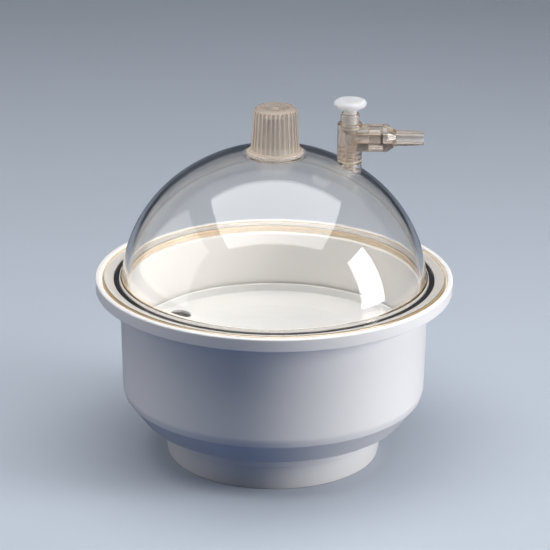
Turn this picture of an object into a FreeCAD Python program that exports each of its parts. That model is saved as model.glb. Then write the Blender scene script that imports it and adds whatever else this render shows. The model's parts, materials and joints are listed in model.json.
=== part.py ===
"""Vacuum desiccator: a white bowl on a hollow foot, a clear dome with a fluted knob and a stopcock.

Millimetres, +Z up. The origin is the centre of the foot's underside, and the stopcock is on the +X side.
Every piece is written to parts/NODE.step as its own closed solid.
"""
import FreeCAD, Part
import math
import os

from FreeCAD import Vector

# ---- Driving dimensions -------------------------------------------------------------------------
FLANGE_R = 125.0           # outer radius of the bowl's flange: the overall width is twice this
RIM_TOP_Z = 130.9          # top of the bowl's raised outer rim
SEAT_Z = 126.5             # face of the bowl's flange that the lid's flange sits over
MOUTH_R = 101.4            # inner radius of the bowl at its mouth
FOOT_R = 75.0              # outer radius of the foot where it stands
SLACK = 0.05               # gap left between pieces that touch or slide on each other

# Bowl
FOOT_TOP_Z = 18.2
FOOT_DRAFT = 3.0           # the foot is this much wider at its top
FOOT_WALL = 3.4
NECK_R = 79.8              # plain ring between the foot and the bowl's underside
FLOOR_Z = 33.5             # inside of the bowl's floor
FLOOR_THICK = 5.0
BEVEL_EDGE_R = 93.2        # lower edge of the bevel, which overhangs the neck
BEVEL_EDGE_Z = 28.9
CREASE_R = 105.2           # where the bevel meets the wall
CREASE_Z = 44.7
WALL_BOTTOM_R = 106.6      # the wall curves in to the crease by a round at this corner
WALL_BOTTOM_Z = 49.5
WALL_BOTTOM_ROUND = 14.0
WALL_TOP_R = 107.9
WALL_THICK = 6.0
SKIRT_Z = 121.8            # lower edge of the flange's outer face
GUSSET_R = 118.0           # the cone under the flange runs from here down to the wall
GUSSET_Z = 117.0
RIM_WALL = 3.7
GROOVE_IN_R = 108.35       # groove in the flange that holds the seal ring
GROOVE_OUT_R = 112.25
GROOVE_Z = 123.1
RIB_COUNT = 6              # ribs inside the bowl that the shelf plate rests on
RIB_FIRST_DEG = 54.0
RIB_THICK = 3.0
RIB_IN_R = 91.0
RIB_TOP_Z = 77.0

# Seal ring between the flanges
SEAL_R = 110.3
SEAL_SECTION_R = 1.9

# Shelf plate
PLATE_R = 98.5
PLATE_THICK = 2.2
PLATE_EDGE_Z = 87.5        # top of the plate's upturned edge
PLATE_BEAD = 4.5           # thicker ring under the plate's edge, which stands on the ribs
CONE_OUT_R = 96.6
CONE_OUT_Z = 81.7
CONE_IN_R = 73.4
CONE_IN_Z = 79.2
PLATE_HOLE_R = 7.75
PLATE_HOLE_RING_R = 84.5
PLATE_HOLE_COUNT = 3
PLATE_HOLE_FIRST_DEG = 24.0

# Desiccant
BED_TOP_Z = 60.0
BED_GAP = 0.3

# Lid
LID_FLANGE_R = 120.2
LID_FLANGE_Z = 127.0
LID_FLANGE_THICK = 4.0
LID_THICK = 4.0
CAP_CENTRE_Z = 110.5
CAP_R = 112.0              # the dome is a spherical cap that runs into a tighter shoulder
SHOULDER_R = 95.45
CAP_DEG = 45.0             # half angle of the cap
KNOB_SEAT_Z = 220.6        # the top of the cap is flat here, inside and out, under the knob
DOME_FOOT_ROUND = 1.6

# Knob
KNOB_BASE_R = 16.9
KNOB_BASE_Z = 222.4
KNOB_SHOULDER_R = 15.2
KNOB_TOP_Z = 252.75
KNOB_ROUND = 4.6
KNOB_WALL = 2.8
KNOB_COLLAR_R = 18.8
KNOB_COLLAR_Z = 221.9
KNOB_DISH_R = 9.5
KNOB_DISH_DEPTH = 1.4
KNOB_PIP_R = 2.6
SPIGOT_R = 13.6
SPIGOT_WALL = 2.0
SPIGOT_TOP_Z = 224.4
FLUTE_COUNT = 30
FLUTE_R = 1.3
FLUTE_DEPTH = 1.1
FLUTE_BOTTOM_Z = 223.3     # each flute has a round lower end and runs out over the knob's shoulder

# Stopcock
VALVE_X = 51.15            # the stopcock's upright axis
BOSS_R = 8.5
BOSS_TOP_Z = 214.4
GASKET_THICK = 1.0
GASKET_IN_R = 5.6
GASKET_OUT_R = 8.0
BARREL_TOP_Z = 241.9
BARREL_ROUND = 1.4
NIPPLE_BOTTOM_Z = 206.2
NIPPLE_THREAD_TOP_Z = 225.2
NIPPLE_CREST_R = 5.0
NIPPLE_ROOT_R = 4.2
NIPPLE_PITCH = 3.3
NIPPLE_BORE_R = 2.2
NOZZLE_R = 3.2
SEAT_NOZZLE_Z = 234.6      # the valve tip closes on the nipple's upper end
CAVITY_R = 4.9
GLAND_STEP_Z = 237.4
GLAND_BORE_R = 6.35
GLAND_BOTTOM_Z = 239.1
GLAND_NECK_R = 6.55
GLAND_NECK_Z = 247.2
GLAND_TOP_Z = 249.2
GLAND_TOP_R = 5.7
STEM_R = 4.5
STEM_BOTTOM_Z = 236.1
STEM_SEAL_SECTION_R = 0.78
TIP_R = 3.7
TIP_STUD_R = 1.5
TIP_STUD_LENGTH = 2.5
DISC_R = 11.05
DISC_BOTTOM_Z = 253.0
DISC_TOP_Z = 258.0
DISC_ROUND = 2.3
DISC_DISH = 0.7
STEM_FLARE = 1.2

# Side arm and hose connector
ARM_Z = 230.9
ARM_R = 9.6
ARM_FACE_X = 63.95
STUB_R = 5.68
STUB_END_X = 72.05
SIDE_BORE_R = 2.5
WASHER_THICK = 1.8
SOCKET_END_X = 76.65
CONE_END_X = 82.75
NOZZLE_ROOT_R = 5.5
NOZZLE_LAND_LENGTH = 7.2
NOZZLE_TIP_X = 101.85
NOZZLE_TIP_R = 4.8
HOSE_BORE_R = 2.6


# ---- Drawing helpers ----------------------------------------------------------------------------
def corner_points(before, corner, after, round_radius):
    """Where a round of the given radius leaves the first side, its middle, and where it joins the second."""
    to_before = (before - corner).normalize()
    to_after = (after - corner).normalize()
    half_angle = to_before.getAngle(to_after) / 2
    bisector = (to_before + to_after).normalize()
    reach = round_radius / math.tan(half_angle)
    depth = round_radius / math.sin(half_angle) - round_radius
    return corner + to_before * reach, corner + bisector * depth, corner + to_after * reach


def path(corners, closed=False):
    """Edges through (radius, height) or (radius, height, round) corners in the XZ plane."""
    points = [Vector(c[0], 0, c[1]) for c in corners]
    rounds = [c[2] if len(c) == 3 else 0.0 for c in corners]
    edges = []
    ends = []
    for i, point in enumerate(points):
        if rounds[i] > 0:
            start, middle, end = corner_points(points[i - 1], point, points[(i + 1) % len(points)], rounds[i])
            edges.append(Part.Arc(start, middle, end).toShape())
            ends.append((start, end))
        else:
            ends.append((point, point))
    followers = ends[1:] + ends[:1] if closed else ends[1:]
    for (_, leave), (arrive, _) in zip(ends, followers):
        if leave.distanceToPoint(arrive) > 1e-6:
            edges.append(Part.makeLine(leave, arrive))
    return edges


def revolved(edges, seam_deg=0.0):
    """A solid made by turning a closed outline about the Z axis, with its seam at the given angle."""
    face = Part.Face(Part.Wire(Part.__sortEdges__(edges)))
    face.rotate(Vector(0, 0, 0), Vector(0, 0, 1), seam_deg)
    return face.revolve(Vector(0, 0, 0), Vector(0, 0, 1), 360)


def turned(corners):
    """A solid made by turning a closed outline of corners about the Z axis."""
    return revolved(path(corners, closed=True))


def turned_about_x(corners, height):
    """A solid made by turning an outline of (radius, x) corners about a line along X at the given height."""
    solid = turned(corners)
    solid.rotate(Vector(0, 0, 0), Vector(0, 1, 0), 90)
    solid.translate(Vector(0, 0, height))
    return solid


def upright(radius, bottom_z, top_z, x=0.0):
    """A cylinder standing along Z."""
    return Part.makeCylinder(radius, top_z - bottom_z, Vector(x, 0, bottom_z))


def ring(centre_radius, section_radius, height, x=0.0):
    """A round seal ring lying flat."""
    return Part.makeTorus(centre_radius, section_radius, Vector(x, 0, height))


def spaced(solid, count, first_deg):
    """Copies of a solid that is drawn on the +X side, spaced evenly about the Z axis."""
    copies = []
    for i in range(count):
        copy = solid.copy()
        copy.rotate(Vector(0, 0, 0), Vector(0, 0, 1), first_deg + 360.0 * i / count)
        copies.append(copy)
    return copies


def at_valve(solid):
    """Moves a solid drawn about the Z axis onto the stopcock's axis."""
    solid.translate(Vector(VALVE_X, 0, 0))
    return solid


# ---- Bowl ---------------------------------------------------------------------------------------
def bevel_offset():
    """How far the inner face of the bevel lies from its outer face, in radius and in height."""
    rise = CREASE_Z - BEVEL_EDGE_Z
    run = CREASE_R - BEVEL_EDGE_R
    slope = math.hypot(rise, run)
    return WALL_THICK * rise / slope, WALL_THICK * run / slope


def inner_crease():
    """Radius and height at which the inner faces of the wall and the bevel meet."""
    inward, upward = bevel_offset()
    return CREASE_R - inward, CREASE_Z + upward


def inner_bevel_z(radius):
    """Height of the bevel's inner face at a radius."""
    crease_r, crease_z = inner_crease()
    return crease_z - (crease_r - radius) * (CREASE_Z - BEVEL_EDGE_Z) / (CREASE_R - BEVEL_EDGE_R)


def floor_edge_r():
    """Radius at which the bevel's inner face comes down to the floor."""
    crease_r, crease_z = inner_crease()
    return crease_r - (crease_z - FLOOR_Z) * (CREASE_R - BEVEL_EDGE_R) / (CREASE_Z - BEVEL_EDGE_Z)


def base_bowl():
    underside_z = FLOOR_Z - FLOOR_THICK
    crease_r, crease_z = inner_crease()
    bowl = turned([
        (0, underside_z),
        (FOOT_R - FOOT_WALL, underside_z, 1.5),
        (FOOT_R - FOOT_WALL, 0, 0.6),
        (FOOT_R, 0, 0.8),
        (FOOT_R + FOOT_DRAFT, FOOT_TOP_Z, 0.3),
        (NECK_R, FOOT_TOP_Z + 0.4, 0.4),
        (NECK_R, underside_z, 1.0),
        (BEVEL_EDGE_R - 0.8, underside_z, 0.3),
        (BEVEL_EDGE_R, BEVEL_EDGE_Z, 0.4),
        (CREASE_R, CREASE_Z, 0.6),
        (WALL_BOTTOM_R, WALL_BOTTOM_Z, WALL_BOTTOM_ROUND),
        (WALL_TOP_R, GUSSET_Z, 1.0),
        (GUSSET_R, SKIRT_Z, 1.0),
        (FLANGE_R - 0.3, SKIRT_Z, 0.5),
        (FLANGE_R, RIM_TOP_Z, 1.2),
        (FLANGE_R - RIM_WALL, RIM_TOP_Z, 0.8),
        (FLANGE_R - RIM_WALL, SEAT_Z, 0.4),
        (GROOVE_OUT_R, SEAT_Z, 0.3),
        (GROOVE_OUT_R, GROOVE_Z, 0.6),
        (GROOVE_IN_R, GROOVE_Z, 0.6),
        (GROOVE_IN_R, SEAT_Z, 0.3),
        (MOUTH_R, SEAT_Z, 1.0),
        (crease_r, crease_z, 12.0),
        (floor_edge_r(), FLOOR_Z, 4.0),
        (0, FLOOR_Z),
    ])
    for rib in spaced(support_rib(), RIB_COUNT, RIB_FIRST_DEG):
        bowl = bowl.fuse(rib)
    return bowl.removeSplitter()


def support_rib():
    """An upright fin that joins the bowl's wall and bevel, with its outer edges inside their thickness."""
    crease_r, crease_z = inner_crease()
    side = [
        Vector(RIB_IN_R, -RIB_THICK / 2, inner_bevel_z(RIB_IN_R) - 1.5),
        Vector(crease_r + 2.0, -RIB_THICK / 2, crease_z - 1.5),
        Vector(crease_r + 2.0, -RIB_THICK / 2, RIB_TOP_Z),
        Vector(RIB_IN_R, -RIB_THICK / 2, RIB_TOP_Z),
    ]
    face = Part.Face(Part.makePolygon(side + [side[0]]))
    return face.extrude(Vector(0, RIB_THICK, 0))


def flange_seal_ring():
    return ring(SEAL_R, SEAL_SECTION_R, GROOVE_Z + SEAL_SECTION_R + SLACK)


def shelf_plate():
    plate = turned([
        (0, CONE_IN_Z),
        (CONE_IN_R, CONE_IN_Z, 2.0),
        (CONE_OUT_R, CONE_OUT_Z, 0.8),
        (CONE_OUT_R, PLATE_EDGE_Z, 0.6),
        (PLATE_R, PLATE_EDGE_Z, 0.6),
        (PLATE_R, RIB_TOP_Z + SLACK, 0.8),
        (PLATE_R - PLATE_BEAD, RIB_TOP_Z + SLACK, 0.4),
        (PLATE_R - PLATE_BEAD, CONE_OUT_Z - PLATE_THICK, 0.4),
        (CONE_IN_R, CONE_IN_Z - PLATE_THICK, 2.0),
        (0, CONE_IN_Z - PLATE_THICK),
    ])
    hole = upright(PLATE_HOLE_R, RIB_TOP_Z - 1, PLATE_EDGE_Z, PLATE_HOLE_RING_R)
    for cutter in spaced(hole, PLATE_HOLE_COUNT, PLATE_HOLE_FIRST_DEG):
        plate = plate.cut(cutter)
    return plate


def desiccant_bed():
    crease_r, crease_z = inner_crease()
    bed = turned([
        (0, FLOOR_Z + BED_GAP),
        (floor_edge_r() - 3.0, FLOOR_Z + BED_GAP, 3.0),
        (crease_r - 1.5, crease_z, 3.0),
        (crease_r - 1.4, BED_TOP_Z, 1.0),
        (0, BED_TOP_Z),
    ])
    slot_corner = Vector(RIB_IN_R - BED_GAP, -RIB_THICK / 2 - BED_GAP, 0)
    slot = Part.makeBox(MOUTH_R - RIB_IN_R, RIB_THICK + 2 * BED_GAP, BED_TOP_Z, slot_corner)
    for cutter in spaced(slot, RIB_COUNT, RIB_FIRST_DEG):
        bed = bed.cut(cutter)
    return bed


# ---- Lid ----------------------------------------------------------------------------------------
def shoulder_centre():
    """Centre of the shoulder's arc, which touches the cap's arc at the edge of the cap."""
    angle = math.radians(CAP_DEG)
    drop = CAP_R - SHOULDER_R
    return Vector(drop * math.sin(angle), 0, CAP_CENTRE_Z + drop * math.cos(angle))


def dome_point(angle, inset=0.0):
    """Point on the dome's outer face, or inset from it, by the angle its normal makes with Z."""
    if angle > math.radians(CAP_DEG):
        centre = shoulder_centre()
        radius = SHOULDER_R - inset
    else:
        centre = Vector(0, 0, CAP_CENTRE_Z)
        radius = CAP_R - inset
    return centre + Vector(radius * math.sin(angle), 0, radius * math.cos(angle))


def shoulder_angle_at(height, inset=0.0):
    """Angle of the shoulder's normal from Z at a height."""
    return math.acos((height - shoulder_centre().z) / (SHOULDER_R - inset))


def seat_angle(inset=0.0):
    """Angle of the cap's normal from Z at the edge of the knob's flat seat."""
    return math.acos((KNOB_SEAT_Z - inset - CAP_CENTRE_Z) / (CAP_R - inset))


def dome_edges(from_z, inset=0.0):
    """The shoulder's and the cap's arcs from a height upwards, and the flat seat at the top."""
    start = shoulder_angle_at(from_z, inset)
    join = math.radians(CAP_DEG)
    seat = seat_angle(inset)
    edges = []
    for low, high in ((start, join), (join, seat)):
        ends = [dome_point(angle, inset) for angle in (low, (low + high) / 2, high)]
        edges.append(Part.Arc(*ends).toShape())
    edges.append(Part.makeLine(dome_point(seat, inset), Vector(0, 0, KNOB_SEAT_Z - inset)))
    return edges


def dome_core():
    """A solid that fills the inside of the dome, with its seam on the side away from the stopcock's hole."""
    middle = Vector(0, 0, LID_FLANGE_Z)
    mouth = dome_point(shoulder_angle_at(LID_FLANGE_Z, LID_THICK), LID_THICK)
    edges = dome_edges(LID_FLANGE_Z, LID_THICK)
    edges.append(Part.makeLine(Vector(0, 0, KNOB_SEAT_Z - LID_THICK), middle))
    edges.append(Part.makeLine(middle, mouth))
    return revolved(edges, 180)


def lid_shell():
    """The dome and its flange, with a round where the dome stands on the flange."""
    top = LID_FLANGE_Z + LID_FLANGE_THICK
    foot_radius = dome_point(shoulder_angle_at(top)).x
    mouth_radius = dome_point(shoulder_angle_at(LID_FLANGE_Z, LID_THICK), LID_THICK).x
    edges = path([
        (mouth_radius, LID_FLANGE_Z),
        (LID_FLANGE_R, LID_FLANGE_Z, 0.4),
        (LID_FLANGE_R, top, 1.7),
        (foot_radius, top),
    ])
    edges += dome_edges(top)
    edges += dome_edges(LID_FLANGE_Z, LID_THICK)
    edges.append(Part.makeLine(Vector(0, 0, KNOB_SEAT_Z), Vector(0, 0, KNOB_SEAT_Z - LID_THICK)))
    shell = revolved(edges, 180)
    foot_edge = [
        edge for edge in shell.Edges
        if abs(edge.BoundBox.ZMin - top) < 0.01
        and abs(edge.BoundBox.ZMax - top) < 0.01
        and abs(edge.BoundBox.XMax - foot_radius) < 0.05
    ]
    return shell.makeFillet(DOME_FOOT_ROUND, foot_edge)


def dome_lid():
    boss = upright(BOSS_R, BOSS_TOP_Z - 20, BOSS_TOP_Z, VALVE_X).cut(dome_core())
    spigot_foot = KNOB_SEAT_Z - LID_THICK / 2
    spigot = upright(SPIGOT_R, spigot_foot, SPIGOT_TOP_Z)
    spigot = spigot.cut(upright(SPIGOT_R - SPIGOT_WALL, spigot_foot, SPIGOT_TOP_Z))
    lid = lid_shell().fuse(boss).fuse(spigot)
    return lid.cut(upright(NIPPLE_CREST_R + SLACK, BOSS_TOP_Z - 20, BOSS_TOP_Z, VALVE_X))


def knob_flute():
    """A groove cutter along the knob's draft on its +X side, with a round lower end and an open top."""
    slope = (KNOB_BASE_R - KNOB_SHOULDER_R) / (KNOB_TOP_Z - KNOB_ROUND - KNOB_BASE_Z)
    offset = FLUTE_R - FLUTE_DEPTH
    low = Vector(KNOB_BASE_R - slope * (FLUTE_BOTTOM_Z - KNOB_BASE_Z) + offset, 0, FLUTE_BOTTOM_Z)
    high = Vector(KNOB_BASE_R - slope * (KNOB_TOP_Z - KNOB_BASE_Z) + offset, 0, KNOB_TOP_Z)
    shaft = Part.makeCylinder(FLUTE_R, (high - low).Length, low, high - low)
    return shaft.fuse(Part.makeSphere(FLUTE_R, low))


def lid_knob():
    foot_z = KNOB_SEAT_Z + SLACK
    dish_z = KNOB_TOP_Z - KNOB_DISH_DEPTH
    knob = turned([
        (SPIGOT_R + SLACK, foot_z),
        (KNOB_COLLAR_R, foot_z, 0.3),
        (KNOB_COLLAR_R, KNOB_COLLAR_Z, 0.4),
        (KNOB_BASE_R, KNOB_BASE_Z, 0.5),
        (KNOB_SHOULDER_R, KNOB_TOP_Z, KNOB_ROUND),
        (KNOB_DISH_R + 0.7, KNOB_TOP_Z, 0.5),
        (KNOB_DISH_R, dish_z, 0.3),
        (KNOB_PIP_R, dish_z, 0.3),
        (KNOB_PIP_R - 0.6, dish_z + 0.8, 0.3),
        (0, dish_z + 0.8),
        (0, dish_z - KNOB_WALL),
        (KNOB_SHOULDER_R - KNOB_WALL, dish_z - KNOB_WALL, 2.5),
        (SPIGOT_R + SLACK, SPIGOT_TOP_Z + 2.0, 0.5),
    ])
    for cutter in spaced(knob_flute(), FLUTE_COUNT, 0.0):
        knob = knob.cut(cutter)
    return knob


# ---- Stopcock -----------------------------------------------------------------------------------
def barrel_bottom_z():
    return BOSS_TOP_Z + GASKET_THICK


def stopcock_body():
    """The tee: an upright barrel, its side arm and the stub that the hose connector is pushed onto."""
    body = at_valve(turned([
        (0, barrel_bottom_z()),
        (BOSS_R, barrel_bottom_z(), 0.9),
        (BOSS_R, BARREL_TOP_Z, BARREL_ROUND),
        (0, BARREL_TOP_Z),
    ]))
    arm = turned_about_x([
        (0, VALVE_X),
        (ARM_R, VALVE_X),
        (ARM_R, ARM_FACE_X, 0.4),
        (STUB_R, ARM_FACE_X),
        (STUB_R, STUB_END_X, 0.3),
        (0, STUB_END_X),
    ], ARM_Z)
    body = body.fuse(arm).removeSplitter()
    thread_socket = upright(NIPPLE_CREST_R + SLACK, barrel_bottom_z(), NIPPLE_THREAD_TOP_Z + SLACK, VALVE_X)
    cavity = upright(CAVITY_R, NIPPLE_THREAD_TOP_Z, GLAND_STEP_Z, VALVE_X)
    gland_seat = upright(GLAND_BORE_R, GLAND_STEP_Z, BARREL_TOP_Z + 1, VALVE_X)
    side_bore = turned_about_x([
        (0, VALVE_X),
        (SIDE_BORE_R, VALVE_X),
        (SIDE_BORE_R, STUB_END_X),
        (0, STUB_END_X),
    ], ARM_Z)
    for hollow in (thread_socket, cavity, gland_seat, side_bore):
        body = body.cut(hollow)
    return body


def joining_nipple():
    """A threaded tube screwed into the boss and the barrel; its plain upper end is the valve's seat."""
    corners = [(NIPPLE_BORE_R, NIPPLE_BOTTOM_Z), (NIPPLE_ROOT_R, NIPPLE_BOTTOM_Z)]
    turns = int((NIPPLE_THREAD_TOP_Z - NIPPLE_BOTTOM_Z) / NIPPLE_PITCH)
    for turn in range(turns):
        start = NIPPLE_BOTTOM_Z + (turn + 0.5) * NIPPLE_PITCH
        corners.append((NIPPLE_ROOT_R, start))
        corners.append((NIPPLE_CREST_R, start + 0.2 * NIPPLE_PITCH))
        corners.append((NIPPLE_CREST_R, start + 0.4 * NIPPLE_PITCH))
        corners.append((NIPPLE_ROOT_R, start + 0.6 * NIPPLE_PITCH))
    corners += [
        (NIPPLE_ROOT_R, NIPPLE_THREAD_TOP_Z),
        (NOZZLE_R, NIPPLE_THREAD_TOP_Z),
        (NOZZLE_R, SEAT_NOZZLE_Z, 0.5),
        (NIPPLE_BORE_R, SEAT_NOZZLE_Z),
    ]
    return at_valve(turned(corners))


def stopcock_gasket():
    bottom = BOSS_TOP_Z + SLACK
    top = barrel_bottom_z() - SLACK
    return at_valve(turned([
        (GASKET_IN_R, bottom),
        (GASKET_OUT_R, bottom, 0.2),
        (GASKET_OUT_R, top, 0.2),
        (GASKET_IN_R, top),
    ]))


def gland_bush():
    """The neck on the barrel, which guides the stem and holds the stem's seal ring down."""
    bore = STEM_R + SLACK
    return at_valve(turned([
        (bore, GLAND_BOTTOM_Z, 0.2),
        (GLAND_BORE_R - SLACK, GLAND_BOTTOM_Z, 0.2),
        (GLAND_BORE_R - SLACK, BARREL_TOP_Z + SLACK),
        (GLAND_NECK_R, BARREL_TOP_Z + SLACK),
        (GLAND_NECK_R, GLAND_NECK_Z, 0.5),
        (GLAND_TOP_R, GLAND_TOP_Z, 0.2),
        (bore, GLAND_TOP_Z - 1.4, 0.2),
    ]))


def stem_seal_ring():
    centre_r = STEM_R + SLACK + STEM_SEAL_SECTION_R
    centre_z = (GLAND_STEP_Z + GLAND_BOTTOM_Z) / 2
    return at_valve(ring(centre_r, STEM_SEAL_SECTION_R, centre_z))


def valve_stem():
    stem = at_valve(turned([
        (0, STEM_BOTTOM_Z),
        (STEM_R, STEM_BOTTOM_Z, 0.4),
        (STEM_R, DISC_BOTTOM_Z - STEM_FLARE, 0.8),
        (STEM_R + STEM_FLARE, DISC_BOTTOM_Z, 0.4),
        (DISC_R, DISC_BOTTOM_Z, DISC_ROUND),
        (DISC_R, DISC_TOP_Z, DISC_ROUND),
        (DISC_R * 0.62, DISC_TOP_Z, 3.0),
        (DISC_R * 0.30, DISC_TOP_Z - DISC_DISH, 3.0),
        (0, DISC_TOP_Z - DISC_DISH),
    ]))
    stud_top_z = STEM_BOTTOM_Z + TIP_STUD_LENGTH + SLACK
    return stem.cut(upright(TIP_STUD_R + SLACK, STEM_BOTTOM_Z, stud_top_z, VALVE_X))


def valve_tip():
    """The soft pad that closes the seat; its stud lets the stem turn while the pad stays still."""
    return at_valve(turned([
        (0, SEAT_NOZZLE_Z + SLACK),
        (TIP_R, SEAT_NOZZLE_Z + SLACK, 0.3),
        (TIP_R, STEM_BOTTOM_Z - SLACK, 0.3),
        (TIP_STUD_R, STEM_BOTTOM_Z - SLACK),
        (TIP_STUD_R, STEM_BOTTOM_Z + TIP_STUD_LENGTH, 0.3),
        (0, STEM_BOTTOM_Z + TIP_STUD_LENGTH),
    ]))


def hose_connector():
    """A socket that fits over the side arm's stub, drawn down to a tapered nozzle for vacuum tubing."""
    face = ARM_FACE_X + SLACK
    socket_bottom = STUB_END_X + WASHER_THICK + SLACK
    return turned_about_x([
        (STUB_R + SLACK, face, 0.2),
        (ARM_R, face, 0.5),
        (ARM_R, SOCKET_END_X, 1.0),
        (NOZZLE_ROOT_R, CONE_END_X, 1.0),
        (NOZZLE_ROOT_R, CONE_END_X + NOZZLE_LAND_LENGTH),
        (NOZZLE_TIP_R, NOZZLE_TIP_X, 0.8),
        (HOSE_BORE_R, NOZZLE_TIP_X, 0.3),
        (HOSE_BORE_R, socket_bottom),
        (STUB_R + SLACK, socket_bottom, 0.2),
    ], ARM_Z)


def connector_washer():
    start = STUB_END_X + SLACK
    end = STUB_END_X + WASHER_THICK
    return turned_about_x([
        (HOSE_BORE_R, start),
        (STUB_R, start, 0.2),
        (STUB_R, end, 0.2),
        (HOSE_BORE_R, end),
    ], ARM_Z)


# ---- Output -------------------------------------------------------------------------------------
NODES = (
    base_bowl,
    flange_seal_ring,
    shelf_plate,
    desiccant_bed,
    dome_lid,
    lid_knob,
    stopcock_body,
    joining_nipple,
    stopcock_gasket,
    gland_bush,
    stem_seal_ring,
    valve_stem,
    valve_tip,
    hose_connector,
    connector_washer,
)


def main():
    os.makedirs("parts", exist_ok=True)
    for node in NODES:
        shape = node()
        shape.exportStep("parts/" + node.__name__ + ".step")
        print(node.__name__, len(shape.Solids), shape.isValid(), round(shape.Volume, 1))


main()
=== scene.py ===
"""Looks of the vacuum desiccator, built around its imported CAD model.

The frame is in metres with +Z up, and the stopcock on the +X side. Outlines are drawn in millimetres as
(radius, height) corners and turned into meshes here, so that the clear pieces are smooth enough to
refract well.
"""

import json
import math
import random

import bmesh
import bpy
from mathutils import Matrix, Vector


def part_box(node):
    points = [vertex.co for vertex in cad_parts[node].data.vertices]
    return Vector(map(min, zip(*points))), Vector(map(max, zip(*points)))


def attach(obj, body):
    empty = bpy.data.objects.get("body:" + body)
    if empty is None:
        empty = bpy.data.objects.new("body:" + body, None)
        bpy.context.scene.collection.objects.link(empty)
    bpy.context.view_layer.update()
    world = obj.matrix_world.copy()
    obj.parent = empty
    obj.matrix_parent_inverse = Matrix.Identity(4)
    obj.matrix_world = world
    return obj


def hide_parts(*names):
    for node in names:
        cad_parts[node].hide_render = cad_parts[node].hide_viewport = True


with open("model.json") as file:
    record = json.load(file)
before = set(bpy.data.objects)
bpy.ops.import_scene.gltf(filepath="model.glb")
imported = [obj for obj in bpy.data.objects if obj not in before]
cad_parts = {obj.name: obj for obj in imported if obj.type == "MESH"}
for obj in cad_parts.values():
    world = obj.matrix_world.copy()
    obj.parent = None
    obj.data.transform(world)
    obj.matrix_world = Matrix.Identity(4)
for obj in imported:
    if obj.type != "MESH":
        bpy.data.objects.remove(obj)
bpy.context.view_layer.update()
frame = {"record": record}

MM = 0.001
ROUND_STEP = math.radians(10)     # one facet of a rounded corner
SHARP_ANGLE = math.radians(32)    # edges sharper than this stay crisp


# ---- The CAD frame ------------------------------------------------------------------------------
class Extent:
    """A CAD node's place in millimetres."""

    def __init__(self, node):
        low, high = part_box(node)
        self.left, self.right = low.x / MM, high.x / MM
        self.bottom, self.top = low.z / MM, high.z / MM
        self.centre_x = (self.left + self.right) / 2
        self.centre_z = (self.bottom + self.top) / 2
        self.radius = (self.right - self.left) / 2
        self.radius_z = (self.top - self.bottom) / 2


BOWL = Extent("base_bowl")
SEAL = Extent("flange_seal_ring")
PLATE = Extent("shelf_plate")
BED = Extent("desiccant_bed")
LID = Extent("dome_lid")
KNOB = Extent("lid_knob")
BODY = Extent("stopcock_body")
NIPPLE = Extent("joining_nipple")
GASKET = Extent("stopcock_gasket")
BUSH = Extent("gland_bush")
STEM_SEAL = Extent("stem_seal_ring")
STEM = Extent("valve_stem")
TIP = Extent("valve_tip")
HOSE = Extent("hose_connector")
WASHER = Extent("connector_washer")

BODY_OF = {node: body for body, nodes in frame["record"]["behaviour"]["bodies"].items() for node in nodes}

# Sizes that a node's box can't give, in millimetres
SLACK = 0.05                      # gap between neighbouring pieces
WALL = 6.0
FOOT_R = 75.0
FOOT_WALL = 3.4
FOOT_TOP = 18.2
NECK_R = 79.8
FLOOR_TOP = BED.bottom - 0.3
FLOOR_THICK = 5.0
BEVEL_EDGE_R = 93.2
BEVEL_EDGE_Z = 28.9
CREASE_R = 105.2
CREASE_Z = 44.7
MOUTH_R = 101.4
SKIRT_Z = 121.8
RIM_WALL = 3.7
RIM_ROUNDED_OFF = 0.035           # how far the rim's rounded edge falls short of its outline's corner
SEAT_Z = LID.bottom - 0.5
GROOVE_Z = SEAL.bottom - SLACK
SEAL_SECTION = SEAL.radius_z
RIB_COUNT = 6
RIB_FIRST = math.radians(54)
RIB_THICK = 3.0
RIB_IN_R = 91.0
RIB_GAP = 0.3
HOLE_COUNT = 3
HOLE_FIRST = math.radians(24)
HOLE_RING_R = 84.5
HOLE_R = 7.75
LID_WALL = 4.0
FLANGE_TOP = LID.bottom + LID_WALL
KNOB_SEAT = KNOB.bottom - SLACK
CAP_R = 112.0
CAP_Z = KNOB_SEAT - 110.1
CAP_ANGLE = math.radians(45)
SHOULDER_R = 95.45
SPIGOT_R = 13.6
SPIGOT_WALL = 2.0
BARREL_R = 8.5
BOSS_TOP = GASKET.bottom - SLACK
BARREL_TOP = BODY.top
BORE_R = 5.05
GLAND_STEP = 2 * STEM_SEAL.centre_z - BUSH.bottom
ARM_R = HOSE.radius_z
ARM_START_X = STEM.centre_x + 4.8
ARM_FACE_X = HOSE.left - SLACK
STUB_R = 5.68
ARM_BORE_R = 2.5
NOZZLE_BORE_R = 2.6
NOZZLE_ROOT_R = 5.5
STEM_R = 4.5


# ---- Mesh helpers -------------------------------------------------------------------------------
def rounded(corners, closed=True, facet=ROUND_STEP):
    """Points of an outline through (radius, height) or (radius, height, round) corners."""
    points = []
    count = len(corners)
    for i, corner in enumerate(corners):
        here = Vector(corner[:2])
        if len(corner) < 3 or (not closed and i in (0, count - 1)):
            points.append(here)
            continue
        to_before = (Vector(corners[i - 1][:2]) - here).normalized()
        to_after = (Vector(corners[(i + 1) % count][:2]) - here).normalized()
        half = to_before.angle(to_after) / 2
        centre = here + (to_before + to_after).normalized() * corner[2] / math.sin(half)
        start = here + to_before * corner[2] / math.tan(half) - centre
        turn = math.pi - 2 * half
        side = 1 if start.cross(here - centre) > 0 else -1
        steps = max(2, round(turn / facet))
        for step in range(steps + 1):
            points.append(centre + Matrix.Rotation(side * turn * step / steps, 2) @ start)
    return points


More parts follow.
